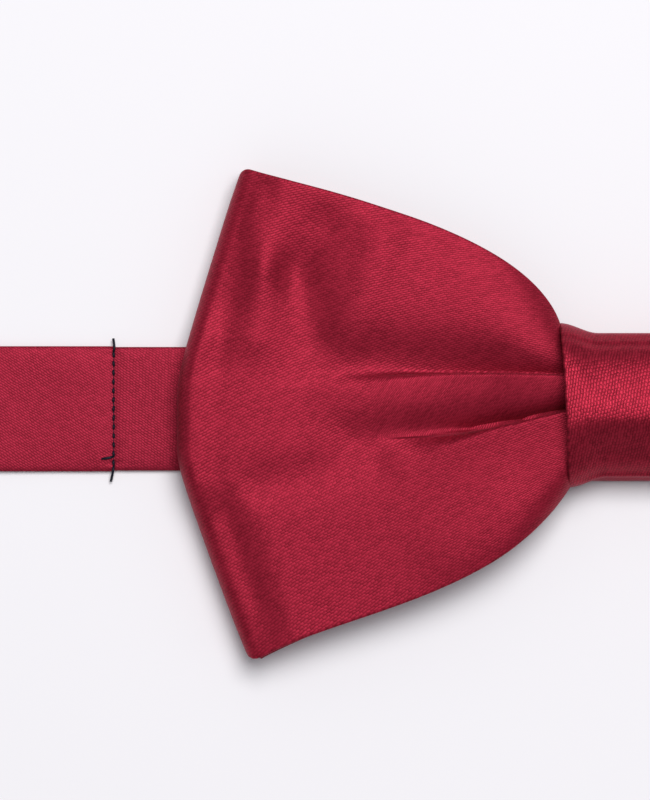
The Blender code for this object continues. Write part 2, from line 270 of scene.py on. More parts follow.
# Sizes in millimetres. Distances from the middle of the bow are the same on both sides.
WING_TOP_EDGE = ((12.4, 10.2), (16.0, 22.0), (42.5, 27.1), (51.9, 29.5))
WING_BOTTOM_EDGE = ((11.15, -9.4), (19.1, -22.8), (38.1, -25.1), (50.9, -30.8))
FOLD_REACH = 60.4  # of the outer fold, from the middle of the bow
FOLD_RADIUS = 1.8
CORNER_RADIUS = 1.2  # that rounds each wing's corners
STRIP_WALL = 0.5
WAIST_HALF = 6.2
WAIST_FRONT = 8.4
WAIST_BACK = 3.2
CLOTH_CENTRE = 20.0  # the cloth's grain fans out from here, on the far side of the knot
CLOTH_RADIUS = 60.0
WAIST_ROWS = 12  # rows of the mesh over half of the waist, in front
FRONT_ROWS = 110
FOLD_ROWS = 18
BACK_ROWS = 44
BACK_WAIST_ROWS = 9


def fold_reach(y):
    """How far out the outer fold lies at height y: level in the middle, and drawn in
    towards both corners along a hyperbola."""
    away = 0.314 * np.maximum(y - 1.3, 0.0) + 0.374 * np.maximum(-4.8 - y, 0.0)
    return FOLD_REACH - (np.sqrt(1.44 + away**2) - 1.2)


def wing_plan(u, v, inset):
    """Where a wing's cloth lies: u runs from the knot (0) to the fold (1), v from the lower
    edge (0) to the upper (1), between two curved edges and the fold, inset from its reach."""
    low = [bezier(*(p[axis] for p in WING_BOTTOM_EDGE), u) for axis in (0, 1)]
    high = [bezier(*(p[axis] for p in WING_TOP_EDGE), u) for axis in (0, 1)]
    x = low[0] + (high[0] - low[0]) * v
    y = low[1] + (high[1] - low[1]) * v
    ends = WING_BOTTOM_EDGE[3][0] + (WING_TOP_EDGE[3][0] - WING_BOTTOM_EDGE[3][0]) * v
    return x + (fold_reach(y) - inset - ends) * u**3, y


def pleat(y, edge, height, depth, spread, power, softness):
    """A pleat whose lower layer laps over the upper one along y = edge: above that line
    the cloth sinks by depth, over a distance of spread, and below it stands height
    proud. The step between them is softness wide."""
    below = edge - y
    over = 0.5 + 0.5 * np.tanh(below / softness)
    crest = height * np.exp(-np.maximum(below, 0.0) / 3.2)
    trough = depth * np.exp(-((np.maximum(-below, 0.0) / spread) ** power))
    return over * crest - (1.0 - over) * trough


def rise(x, y, start, end, width, height):
    """A soft fold along the line from start to end, with a bell-shaped section."""
    along = np.array(end) - np.array(start)
    t = ((x - start[0]) * along[0] + (y - start[1]) * along[1]) / (along @ along)
    t = np.clip(t, 0.0, 1.0)
    away = (x - start[0] - t * along[0]) ** 2 + (y - start[1] - t * along[1]) ** 2
    return height * np.exp(-away / width**2)


# Each soft fold of a wing: from (x, y) to (x, y), half width, height.
SOFT_FOLDS = (
    ((51.6, 25.0), (49.4, 17.5), 2.6, 0.4),
    ((49.4, 17.5), (50.6, 9.0), 2.6, 0.4),
    ((42.6, 22.5), (45.6, 17.0), 2.8, -0.5),
    ((45.6, 17.0), (43.2, 9.0), 2.8, -0.5),
    ((45.2, 17.0), (43.0, -1.0), 5.5, -0.3),
    ((38.6, 9.5), (34.5, 22.0), 3.2, 0.6),
    ((56.2, 14.0), (57.0, 6.5), 2.4, -0.4),
    ((37.0, 6.6), (22.0, 4.8), 3.4, -0.7),
    ((50.0, -9.4), (36.0, -6.6), 2.8, -0.45),
    ((38.0, -3.4), (31.0, -3.4), 2.6, -0.6),
    ((57.2, -9.0), (51.8, -24.0), 1.9, -0.35),
    ((26.0, -17.0), (20.0, -13.0), 4.5, 0.3),
)


def upper_crease(x):
    """The line of the upper pleat's edge, as y at a distance x from the bow's middle."""
    return 4.2 - 0.0016 * (x - 24.0) ** 2


def lower_crease(x):
    """The line of the lower pleat's edge."""
    return -0.5 - 0.24 * (x - 12.0) + 0.008 * np.maximum(x - 18.0, 0.0) ** 2


def wing_relief(x, y):
    """How far the front wall stands off its plain crown: two pleats, a dip behind the
    rolled fold and the soft folds."""
    upper = 1.0 - smoothstep(14.0, 55.0, x)
    softness = 0.16 + 1.3 * smoothstep(26.0, 48.0, x)
    spread = 2.0 + 2.6 * smoothstep(14.0, 27.0, x)
    height = pleat(y, upper_crease(x), 0.45 * upper, 1.75 * upper, spread, 1.4, softness)
    lower = 1.0 - smoothstep(23.0, 37.0, x)
    softness = 0.16 + 1.3 * smoothstep(20.0, 33.0, x)
    spread = 1.1 + 2.0 * smoothstep(14.0, 27.0, x)
    height = height + pleat(y, lower_crease(x), 0.35 * lower, 3.3 * lower, spread, 1.2, softness)
    height = height - 0.12 * np.exp(-(((fold_reach(y) - x - 4.4) / 1.8) ** 2))
    for fold in SOFT_FOLDS:
        height = height + rise(x, y, *fold)
    return height


def lap(x, y):
    """How far the pleats' lower layers are drawn up over the steps under their edges."""
    shift = 0.0 * y
    for edge, first, last in ((upper_crease(x), 24.0, 44.0), (lower_crease(x), 19.0, 29.0)):
        below = edge - y
        near = (0.5 + 0.5 * np.tanh(below / 0.16)) * np.exp(-np.maximum(below, 0.0) / 1.6)
        shift = shift + 0.5 * near * (1.0 - smoothstep(first, last, x))
    return shift


def back_height(u, y):
    """The back wall: just above the band, sagging beside it, and lifted at the waist."""
    sag = 0.9 * smoothstep(8.5, 14.0, np.abs(y)) * smoothstep(0.15, 0.5, u)
    return WAIST_BACK + (1.3 - WAIST_BACK) * smoothstep(0.0, 0.5, u) - sag


def fold_rise(y):
    """Half the height of the rolled fold: fuller in the middle than at the corners."""
    return 3.05 + 0.1 * np.exp(-(((y + 0.5) / 10.0) ** 2))


def front_height(u, v, x, y, sink):
    """The front wall: a crown across the wing that sinks to the outer fold, plus relief."""
    crest = back_height(1.0, y) + 2.0 * fold_rise(y)
    crown = 8.8 - 1.3 * smoothstep(0.1, 0.95, u)
    crown = crown + (crest - crown) * smoothstep(0.86, 1.02, u)
    drop = 2.8 - 1.6 * smoothstep(0.05, 0.6, u)
    arch = np.abs(2.0 * v - 1.0) ** np.where(v > 0.5, 2.6, 7.0)
    arch = arch * (1.0 - np.where(v > 0.5, 0.3, 0.8) * smoothstep(0.02, 0.3, u))
    crown = crown - drop * arch * (1.0 - smoothstep(0.45, 0.9, u))
    fade = smoothstep(1.0, 0.93, u) * smoothstep(-0.02, 0.05, 0.5 - np.abs(v - 0.5))
    relief = wing_relief(x, y) if sink == 0.0 else -sink
    return crown + relief * fade


def grain(x, y, extra, side):
    """Where cloth at (x, y) lies on the flat strip: along it by its distance from the centre
    that the grain fans out from, plus extra, and across it by its bearing from there. The
    grain is turned between the two pleats on the front, where side is 1."""
    reach = np.hypot(x + CLOTH_CENTRE, y)
    bearing = np.arctan2(y, x + CLOTH_CENTRE)
    over = 0.5 * (CLOTH_RADIUS + reach) * bearing
    middle = smoothstep(lower_crease(x), lower_crease(x) + 0.3, y)
    middle = middle * smoothstep(upper_crease(x) + 0.1, upper_crease(x) - 0.2, y)
    over = over - 0.8 * np.maximum(36.0 - x, 0.0) * middle * (side > 0)
    return np.stack([extra + side * reach, over], axis=1)


def half_loop(columns, margin, sink):
    """Half of the strip's outer face, from the middle of its front over the right wing's
    fold to the middle of its back, as points (station, across, xyz) in millimetres, with
    each point's place on the flat cloth (along, across). margin is the part of the
    strip's width left off at each edge. A layer that sinks is that much lower under the
    front and has none of its relief."""
    v = np.linspace(margin, 1.0 - margin, columns)
    flat = np.ones(columns)
    rows, cloth = [], []
    knot_x, knot_y = wing_plan(0.0 * v, v, FOLD_RADIUS)
    knot_z = front_height(0.0 * v, v, knot_x, knot_y, sink)
    waist_y = WAIST_HALF * (2.0 * v - 1.0)
    waist_z = WAIST_FRONT - 2.2 * np.abs(2.0 * v - 1.0) ** 3
    for w in np.linspace(0.0, 1.0, WAIST_ROWS)[:-1]:
        spread = smoothstep(0.5, 1.1, w) / smoothstep(0.5, 1.1, 1.0)
        x, y = w * knot_x, waist_y + (knot_y - waist_y) * spread
        rows.append(np.stack([x, y, waist_z + (knot_z - waist_z) * spread], axis=1))
        cloth.append(grain(x, y, 0.0, 1.0))
    for u in np.linspace(0.0, 1.0, FRONT_ROWS):
        x, y = wing_plan(u * flat, v, FOLD_RADIUS)
        lapped = y + (lap(x, y) if sink == 0.0 else 0.0)
        rows.append(np.stack([x, lapped, front_height(u * flat, v, x, y, sink)], axis=1))
        cloth.append(grain(x, y, 0.0, 1.0))
    fold_x, fold_y = wing_plan(flat, v, FOLD_RADIUS)
    fold_z = back_height(1.0, fold_y) + fold_rise(fold_y)
    far = np.hypot(fold_x + CLOTH_CENTRE, fold_y)
    for angle in np.radians(np.linspace(90.0, -90.0, FOLD_ROWS)[1:-1]):
        tip = FOLD_RADIUS * math.cos(angle) * np.abs(2.0 * v - 1.0) ** 8 * (2.0 * v - 1.0)
        x = fold_x + FOLD_RADIUS * math.cos(angle)
        z = fold_z + fold_rise(fold_y) * math.sin(angle)
        past = max(0.0, FOLD_RADIUS * (math.cos(angle) - 1.0) + CORNER_RADIUS)
        trim = CORNER_RADIUS - math.sqrt(CORNER_RADIUS**2 - past**2)
        ends = np.abs(2.0 * v - 1.0) ** 10 * (2.0 * v - 1.0)
        rows.append(np.stack([x, fold_y + 0.28 * tip - trim * ends, z], axis=1))
        cloth.append(grain(fold_x, fold_y, FOLD_RADIUS * (math.pi / 2 - angle), 1.0))
    for u in np.linspace(1.0, 0.0, BACK_ROWS):
        x, y = wing_plan(u * flat, v, FOLD_RADIUS)
        y = y - 0.35 * smoothstep(0.7, 0.95, u) * smoothstep(0.2, 0.0, v)
        rows.append(np.stack([x, y, back_height(u, y) * flat], axis=1))
        cloth.append(grain(x, y, FOLD_RADIUS * math.pi + 2.0 * far, -1.0))
    for w in np.linspace(1.0, 0.0, BACK_WAIST_ROWS)[1:]:
        spread = smoothstep(0.5, 1.1, w) / smoothstep(0.5, 1.1, 1.0)
        x, y = w * knot_x, waist_y + (knot_y - waist_y) * spread
        rows.append(np.stack([x, y, WAIST_BACK * flat], axis=1))
        cloth.append(grain(x, y, FOLD_RADIUS * math.pi + 2.0 * far, -1.0))
    return np.array(rows), np.array(cloth)


def whole_loop(columns, margin=0.0, sink=0.0):
    """The strip all the way round: the right half, then the left one, mirrored, from the
    middle of the back to the middle of the front."""
    right, right_cloth = half_loop(columns, margin, sink)
    left = right[-2:0:-1] * (-1.0, 1.0, 1.0)
    left_cloth = right_cloth[-2:0:-1] * (-1.0, 1.0)
    return np.concatenate([right, left]), np.concatenate([right_cloth, left_cloth])


def blurred(points, passes):
    """The grid with its creases eased: each pass averages a point with its neighbours."""
    for _ in range(passes):
        middle = points[:, :-2] + 2.0 * points[:, 1:-1] + points[:, 2:]
        points = np.concatenate([points[:, :1], middle / 4.0, points[:, -1:]], axis=1)
    return points


def walled(outer, cloth, start, wall, face_step=1, ease=0):
    """A wall from start to start + wall below an outer face, its two long edges rounded.

    The ring goes over the face from the lower edge to the upper, round that edge in a
    half circle, back under the face and round the lower edge. The under face has one
    column for every face_step of the outer one, and its creases are eased ease times.
    """
    under = blurred(outer, ease)
    normals = grid_normals(under)
    top = (outer if ease == 0 or start == 0 else under) - normals * start
    bottom = (under - normals * (start + wall))[:, ::-1][:, ::face_step]
    across = np.gradient(under, axis=1)
    across /= np.linalg.norm(across, axis=2, keepdims=True)
    bends = np.radians(np.linspace(0.0, 180.0, 7)[1:-1])
    upper, lower = [], []
    for bend in bends:
        sink = start + wall * (0.5 - 0.5 * math.cos(bend))
        push = 0.5 * wall * math.sin(bend)
        upper.append(under[:, -1] - normals[:, -1] * sink + across[:, -1] * push)
        lower.append(under[:, 0] - normals[:, 0] * sink - across[:, 0] * push)
    points = np.concatenate(
        [top, np.stack(upper, 1), bottom, np.stack(lower[::-1], 1)], axis=1
    )
    edges = len(bends)
    flat = np.concatenate(
        [
            cloth,
            np.repeat(cloth[:, -1:], edges, axis=1),
            cloth[:, ::-1][:, ::face_step],
            np.repeat(cloth[:, :1], edges, axis=1),
        ],
        axis=1,
    )
    return points * MM, flat * MM


loop, loop_cloth = whole_loop(200)
points, cloth = walled(loop, loop_cloth, 0.0, STRIP_WALL, face_step=4, ease=10)
bow_satin = cloth_mesh("bow_satin", points, cloth, True, WING_SATIN)
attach(bow_satin, "bow")
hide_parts("bow_loop")


def felt(name, colour):
    """Non-woven interlining: matt, with short fibres lying every way."""
    made, tree, shader = new_finish(name)
    place = tree.nodes.new("ShaderNodeTexCoord")
    fibres = noise_node(tree, place.outputs["Object"], 1600.0, 4.0)
    fibres.inputs["Distortion"].default_value = 2.5
    two_tones(tree, shader, fibres.outputs["Fac"], [0.72 * part for part in colour], colour)
    raised(tree, shader, fibres.outputs["Fac"], 0.00006)
    shader.inputs["Roughness"].default_value = 0.95
    return made


FELT = felt("burgundy_interlining", (0.21, 0.012, 0.026))

# The bow's interlining: a softer strip inside the satin, a little narrower, that keeps
# the wings round.
lining_loop, lining_cloth = whole_loop(60, margin=0.08, sink=3.0)
points, cloth = walled(lining_loop, lining_cloth, 0.75, 0.3)
bow_lining = cloth_mesh("bow_lining", points, cloth, True, FELT)
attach(bow_lining, "bow")
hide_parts("bow_interlining")


def thread_surface(name, colour, sheen):
    """Spun polyester sewing thread: soft gloss, fuzz, and a plied unevenness."""
    made, tree, shader = new_finish(name)
    place = tree.nodes.new("ShaderNodeTexCoord")
    plies = noise_node(tree, place.outputs["Object"], 5200.0, 2.0)
    dark, light = [0.5 * part for part in colour], [1.5 * part for part in colour]
    two_tones(tree, shader, plies.outputs["Fac"], dark, light)
    raised(tree, shader, plies.outputs["Fac"], 0.00004)
    shader.inputs["Roughness"].default_value = 0.55
    shader.inputs["Specular IOR Level"].default_value = 0.25
    shader.inputs["Sheen Weight"].default_value = sheen
    return made


RED_THREAD = thread_surface("burgundy_thread", (0.28, 0.015, 0.03), 0.2)


def dressed(node, surface):
    """A CAD node that keeps its own shape and gets this finish."""
    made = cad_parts[node]
    made.data.materials.clear()
    made.data.materials.append(surface)
    return made


# The thread that gathers the waist, three times round it inside the knot.
dressed("gather_thread", RED_THREAD)

# ---------------------------------------------------------------------------
# The knot. A strip of the same satin, wrapped askew round the gathered waist from its
# inner lap to its outer one, with one fold across its front and a crease near its top.
# ---------------------------------------------------------------------------
KNOT_SATIN = satin(
    "knot_satin",
    shade=(0.075, 0.0022, 0.0062),
    lit=(0.325, 0.016, 0.036),
    lean=0.22,
    pitch=0.00036,
    float_length=0.00052,
    relief=0.00003,
    gloss=0.62,
)
KNOT_LENGTH = 23.6
KNOT_HALF = 9.05
KNOT_TOP = 11.8
KNOT_WALL = 0.5
KNOT_OVERLAP = 4.0
KNOT_CORNER = 1.2
KNOT_SIDE = 2.6  # height above which the section arches over the waist
KNOT_LAYER = 0.7
KNOT_SKEW = -0.06
KNOT_FLARE = 1.25  # of the rims, past the section's own half width
LAP_ROWS = 12
CORNER_ROWS = 6
ARCH_ROWS = slice(LAP_ROWS - 1 + CORNER_ROWS, -CORNER_ROWS - LAP_ROWS)


def swing(across, up, radius, first, last, steps):
    """Points (across, up) on an arc, from first to last degrees, without its last point."""
    angles = np.radians(np.linspace(first, last, steps + 1)[:-1])
    return np.stack([across + radius * np.cos(angles), up + radius * np.sin(angles)], 1)


def knot_section(inset):
    """The wrap's outer face less inset, as points (y, z) from the inner lap's end, round
    the +Y side, over the front and round the -Y side to the outer lap's end."""
    corner_y = KNOT_HALF - KNOT_CORNER
    low_in, low_out = KNOT_LAYER + inset, inset
    lap_y = np.linspace(-KNOT_OVERLAP, corner_y, LAP_ROWS)
    lap_in = np.stack([lap_y, np.full(LAP_ROWS, low_in)], 1)[:-1]
    bend = KNOT_CORNER - inset
    right = swing(corner_y, KNOT_CORNER + KNOT_LAYER, bend, -90, 0, CORNER_ROWS)
    turn = np.radians(np.linspace(0.0, 180.0, 97))
    half, height = KNOT_HALF - inset, KNOT_TOP - inset - KNOT_SIDE
    y = half * np.sign(np.cos(turn)) * np.abs(np.cos(turn)) ** 0.55
    arch = np.stack([y, KNOT_SIDE + height * np.sin(turn) ** 0.8], 1)
    left = swing(-corner_y, KNOT_CORNER, bend, 180, 270, CORNER_ROWS)
    lap_y = np.linspace(-corner_y, KNOT_OVERLAP, LAP_ROWS)
    lap_out = np.stack([lap_y, np.full(LAP_ROWS, low_out)], 1)
    return np.concatenate([lap_in, right, arch, left, lap_out])


def knot_relief(y):
    """The front's shape: its crest just below the middle, a long fall towards the top, a
    steep one to the bottom, and a crease near the top."""
    crown = 1.3 - 1.3 * np.exp(-0.04 * np.maximum(y + 1.6, 0.0) ** 2)
    under = 2.1 * smoothstep(-1.3, -6.6, y)
    crease = 0.4 * np.exp(-(((y - 7.5) / 0.35) ** 2))
    return 0.3 - crown - under - crease


def knot_face(inset, length, columns):
    """The wrap's outer face less inset, as points (station, across, xyz)."""
    section = knot_section(inset)
    x = np.linspace(-length / 2, length / 2, columns)
    y, z = section[:, :1], section[:, 1:]
    front = smoothstep(5.0, 8.5, z + inset)
    rim = smoothstep(0.6, 1.0, np.abs(x) / 12.0)[None, :]
    mouth = smoothstep(1.2, 4.0, z)
    relief = knot_relief(y * KNOT_HALF / (KNOT_HALF - inset))
    height = z + front * relief * (1.0 - 0.5 * rim) + 0.35 * rim * front
    wide = y * (1.0 + KNOT_FLARE / KNOT_HALF * rim * mouth) + 0.45 * mouth
    across = x[None, :] + KNOT_SKEW * y
    return np.stack(np.broadcast_arrays(across, wide, height), axis=2)


def flat_place(points):
    """Each point's place on the flat cloth: how far along the path it is, measured down
    the middle column, and how far across, measured over the middle station."""
    stations, columns = points.shape[:2]
    down = np.linalg.norm(np.diff(points[:, columns // 2], axis=0), axis=1)
    over = np.linalg.norm(np.diff(points[stations // 2], axis=0), axis=1)
    along, across = np.append(0.0, np.cumsum(down)), np.append(0.0, np.cumsum(over))
    return np.stack(np.meshgrid(along, across, indexing="ij"), axis=2)


knot_outer = knot_face(0.0, KNOT_LENGTH, 90)
points, cloth = walled(knot_outer, flat_place(knot_outer), 0.0, KNOT_WALL, face_step=3)
knot_satin = cloth_mesh("knot_satin", points, cloth, False, KNOT_SATIN)
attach(knot_satin, "bow")
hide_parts("knot_wrap")

# The knot's interlining: inside its front and sides, without the laps.
inner = knot_face(KNOT_WALL + 0.25, KNOT_LENGTH - 2.0, 24)[ARCH_ROWS]
points, cloth = walled(inner, flat_place(inner), 0.0, 0.3)
knot_lining = cloth_mesh("knot_lining", points, cloth, False, FELT)
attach(knot_lining, "bow")
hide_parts("knot_interlining")

dressed("knot_closing_stitch", RED_THREAD)

# ---------------------------------------------------------------------------
# The band. Flat tubes of the same satin with a stiff strip inside: one behind the bow
# from seam to seam, and one to each side of it.
# ---------------------------------------------------------------------------
BAND_SATIN = satin(
    "band_satin",
    shade=(0.125, 0.0044, 0.011),
    lit=(0.31, 0.0155, 0.038),
    lean=0.6,
    pitch=0.00029,
    float_length=0.00048,
    relief=0.00002,
)
SIDE_SATIN = satin(
    "side_satin",
    shade=(0.13, 0.0046, 0.0115),
    lit=(0.315, 0.0155, 0.038),
    lean=-0.6,
    pitch=0.00029,
    float_length=0.00048,
    relief=0.00002,
)
BAND_HALF = 7.75
BAND_THICK = 1.0
BAND_WALL = 0.22
BAND_LINING = 0.26
BAND_LEVEL = 0.5  # of the middle of the band's thickness, above the surface it lies on
KNOT_PASS = 2.0  # the same, where the band is lifted through the knot
SEAM_X = 68.4
SEAM_GAP = 0.05  # from the seam to the end of each tube
STITCH = 1.13  # from one stitch of a seam to the next


def route(corners, step):
    """Points (x, z) along a bent line through corners, no further apart than step."""
    corners = np.array(corners, dtype=float)
    gaps = np.append(0.0, np.cumsum(np.linalg.norm(np.diff(corners, axis=0), axis=1)))
    inner_points = np.arange(0.0, gaps[-1], step)
    at = np.unique(np.round(np.concatenate([inner_points, gaps]), 4))
    return np.stack([np.interp(at, gaps, corners[:, i]) for i in (0, 1)], 1)


def flat_section(half_width, half_thick, columns):
    """A flat tube's section (y, off), counted from the lower edge over the upper face."""
    turn = np.linspace(0.0, 2.0 * math.pi, columns, endpoint=False)
    y = -half_width * np.sign(np.cos(turn)) * np.abs(np.cos(turn)) ** 0.3
    off = half_thick * np.sign(np.sin(turn)) * np.abs(np.sin(turn)) ** 0.5
    return y, off


def swept(path, y, off, swell=None):
    """A section carried along points (x, z), its off axis square to the path."""
    heading = np.gradient(path, axis=0)
    heading /= np.linalg.norm(heading, axis=1, keepdims=True)
    square = np.stack([-heading[:, 1], heading[:, 0]], 1) * np.sign(path[-1, 0] - path[0, 0])
    lift = off[None, :] + (0.0 if swell is None else swell(path[:, :1], y[None, :]))
    x = path[:, :1] + square[:, :1] * lift
    z = path[:, 1:] + square[:, 1:] * lift
    return np.stack([x, np.broadcast_to(y, x.shape), z], axis=2)


def flat_tube(name, path, half_width, surface, thick=BAND_THICK, swell=None, columns=64):
    """A sewn tube pressed flat, open at both ends: its outer skin out along the path and
    its inner skin back."""
    outer = swept(path, *flat_section(half_width, thick / 2, columns), swell)
    thin = thick / 2 - BAND_WALL
    inner = swept(path, *flat_section(half_width - BAND_WALL, thin, columns))
    cloth = flat_place(outer)
    points = np.concatenate([outer, inner[::-1]])
    made = cloth_mesh(name, points * MM, np.concatenate([cloth, cloth[::-1]]) * MM, True, surface)
    made.data.set_sharp_from_angle(angle=math.radians(60.0))
    return made


def flat_strip(name, path, half_width, surface, thick=BAND_LINING):
    """A flat strip of cloth or metal with its ends closed."""
    outer = swept(path, *flat_section(half_width, thick / 2, 24))
    return cloth_mesh(name, outer * MM, flat_place(outer) * MM, False, surface)


def pucker(x, y):
    """The seam draws the satin down, most under its stitches, and the faces wave a
    little."""
    near = np.exp(-np.abs(np.abs(x) - SEAM_X) / 0.7)
    drawn = -0.16 * near * (1.0 + 0.5 * np.cos(2.0 * math.pi * y / STITCH))
    slow = 0.05 * np.sin(0.31 * x + 0.5 * y) * np.sin(0.17 * x - 0.3 * y)
    return drawn + slow * (1.0 - near)


def near_seam(first, last):
    """Places along x, in close steps by the seam and wide ones further off."""
    away = abs(last - first)
    close = np.linspace(0.0, 2.5, 18)
    reach = np.concatenate([close, np.arange(3.5, away, 1.2), [away]])
    return first + reach * np.sign(last - first)


def level_path(first, last):
    """Points (x, z) from first to last along the level band."""
    places = near_seam(first, last)
    return np.stack([places, np.full(len(places), BAND_LEVEL)], 1)


bridge_end = SEAM_X - SEAM_GAP
lifted = route(
    [(-30.0, BAND_LEVEL), (-13.0, KNOT_PASS), (13.0, KNOT_PASS), (30.0, BAND_LEVEL)], 1.2
)
bridge_path = np.concatenate(
    [level_path(-bridge_end, -30.5), lifted, level_path(bridge_end, 30.5)[::-1]]
)
bridge_satin = flat_tube("bridge_satin", bridge_path, BAND_HALF, BAND_SATIN, swell=pucker)
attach(bridge_satin, "bow")
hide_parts("bridge_band")
dressed("bridge_interlining", FELT)

# ---------------------------------------------------------------------------
# The seams. Navy thread in a running stitch along each, its ends left standing.
# ---------------------------------------------------------------------------
NAVY_THREAD = thread_surface("navy_thread", (0.004, 0.005, 0.014), 0.02)
THREAD_SIDES = 8
THREAD_RADIUS = 0.16
STITCH_RISE = 0.42  # half the height between a strand's crests and its dips


def thread_tube(name, strands, radius, surface):
    """A sewing thread along each strand of points (x, y, z), in millimetres."""
    ring = np.radians(np.linspace(0.0, 360.0, THREAD_SIDES, endpoint=False))
    verts, faces = [], []
    for strand in strands:
        strand = np.array(strand, dtype=float)
        heading = np.gradient(strand, axis=0)
        heading /= np.linalg.norm(heading, axis=1, keepdims=True)
        side = np.cross(heading, (0.0, 0.0, 1.0))
        side /= np.linalg.norm(side, axis=1, keepdims=True)
        up = np.cross(side, heading)
        start = len(verts)
        for middle, a, b in zip(strand, side, up):
            verts += [middle + radius * (math.cos(t) * a + math.sin(t) * b) for t in ring]
        for i in range(len(strand) - 1):
            low = start + THREAD_SIDES * i
            high = low + THREAD_SIDES
            for j in range(THREAD_SIDES):
                k = (j + 1) % THREAD_SIDES
                faces.append([low + j, low + k, high + k, high + j])
        faces.append(list(reversed(range(start, start + THREAD_SIDES))))
        last = start + THREAD_SIDES * (len(strand) - 1)
        faces.append(list(range(last, last + THREAD_SIDES)))
    mesh = bpy.data.meshes.new(name)
    mesh.from_pydata([list(v * MM) for v in verts], [], faces)
    mesh.shade_smooth()
    mesh.materials.append(surface)
    made = bpy.data.objects.new(name, mesh)
    bpy.context.scene.collection.objects.link(made)
    faces_out(made)
    return made


def running_stitch(x, level, side):
    """A strand that shows for part of each stitch and dives into the cloth between."""
    y = np.arange(-7.3, 7.3, STITCH / 10)
    wave = np.cos(2.0 * math.pi * y / STITCH)
    z = level + side * STITCH_RISE * (wave - 0.35)
    return np.stack([np.full(len(y), x) + 0.03 * np.sin(5.0 * y), y, z], 1)


def seam_strands(x):
    """Both threads of one seam, their tails, and one stitch that strays sideways."""
    top = running_stitch(x, 0.86, 1.0)
    bottom = running_stitch(x, 0.14, -1.0)
    tail_up = [(x, 7.2, 0.9), (x + 0.1, 7.6, 1.05), (x + 0.05, 8.1, 0.8), (x - 0.05, 8.8, 0.6)]
    tail_down = [
        (x, -7.2, 0.9), (x - 0.05, -7.7, 1.05), (x - 0.15, -8.2, 0.8), (x - 0.35, -9.1, 0.5)
    ]
    stray = [
        (x - 0.1, -6.0, 0.9), (x - 0.4, -6.1, 1.1), (x - 0.9, -6.2, 1.12), (x - 1.5, -6.3, 0.85)
    ]
    return [top, bottom, tail_up, tail_down, stray]


for side, name in ((-1.0, "left_seam"), (1.0, "right_seam")):
    seam = thread_tube(name, seam_strands(side * SEAM_X), THREAD_RADIUS, NAVY_THREAD)
    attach(seam, "bow")
    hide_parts(name + "_stitch")

# ---------------------------------------------------------------------------
# The left strap, from its seam to the eye's bar, round the bar and back over itself.
# ---------------------------------------------------------------------------
BAR_X = 188.0
BAR_Z = 2.2
TURN = 1.7
SIDE_HALF = 7.85
STRAP_START = SEAM_X + SEAM_GAP
WEB_START = SEAM_X + 1.0
LEFT_END = BAR_X - 14.0  # of the strap, folded back from the eye's bar
left_path = np.concatenate(
    [
        level_path(-STRAP_START, -BAR_X + 0.4),
        swing(-BAR_X, BAR_Z, TURN, 270, 90, 12),
        route([(-BAR_X, BAR_Z + TURN), (-LEFT_END, BAR_Z + TURN)], 1.2),
    ]
)
left_satin = flat_tube("left_satin", left_path, SIDE_HALF, SIDE_SATIN, swell=pucker)
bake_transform(left_satin)
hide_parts("left_strap")

left_web = flat_strip("left_web", level_path(-WEB_START, -BAR_X + 5.0), SIDE_HALF - 0.85, FELT)
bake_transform(left_web)
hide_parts("left_strap_interlining")
dressed("left_end_tack", RED_THREAD)

# ---------------------------------------------------------------------------
# The right strap: its main run lies in the sleeve that goes to the hook and back, so that
# the slider can take it up; the run back to the slider stretches between the two.
# ---------------------------------------------------------------------------
SLIDER_X = 138.0
SLIDER_Z = 2.8
SLIDER_TURN = 1.1
RUN_END = 159.0  # of the main run, inside the sleeve
SLEEVE_START = 133.0
RETURN_START = 147.0  # of the run back's lower layer, tucked in past the slider
RETURN_END = 183.95  # of its upper layer, just short of the sleeve's own end

main_path = level_path(STRAP_START, RUN_END)
right_satin = flat_tube(
    "right_satin", main_path, SIDE_HALF - 0.3, SIDE_SATIN, thick=0.9, swell=pucker
)
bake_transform(right_satin)
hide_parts("right_strap")

right_web_path = level_path(WEB_START, RUN_END - 1.0)
right_web = flat_strip("right_web", right_web_path, SIDE_HALF - 1.2, FELT, thick=0.22)
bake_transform(right_web)
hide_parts("right_strap_interlining")

hook_path = np.concatenate(
    [
        route([(SLEEVE_START, BAND_LEVEL), (BAR_X - 0.3, BAND_LEVEL)], 1.2),
        swing(BAR_X, BAR_Z, TURN, -90, 90, 12),
        [(BAR_X, BAR_Z + TURN), (BAR_X - 4.0, BAR_Z + TURN)],
    ]
)
hook_sleeve = flat_tube("hook_sleeve", hook_path, SIDE_HALF, SIDE_SATIN, thick=1.12)
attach(hook_sleeve, "hook_end")
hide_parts("right_strap_turn")

turn_x = SLIDER_X - 0.2
under_z, over_z = SLIDER_Z - SLIDER_TURN, SLIDER_Z + SLIDER_TURN
back_path = np.concatenate(
    [
        route([(RETURN_START, under_z), (turn_x + 0.1, under_z)], 1.0),
        swing(turn_x, SLIDER_Z, SLIDER_TURN, 270, 90, 12),
        route([(turn_x, over_z), (RETURN_END, over_z)], 1.0),
    ]
)
return_run = flat_tube("return_run", back_path, SIDE_HALF, SIDE_SATIN)
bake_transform(return_run)
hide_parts("right_strap_return")
dressed("slider_tack", RED_THREAD)

# ---------------------------------------------------------------------------
# The hardware: three stampings of nickel-plated steel, 0.8 mm thick, edges tumbled round.
# ---------------------------------------------------------------------------


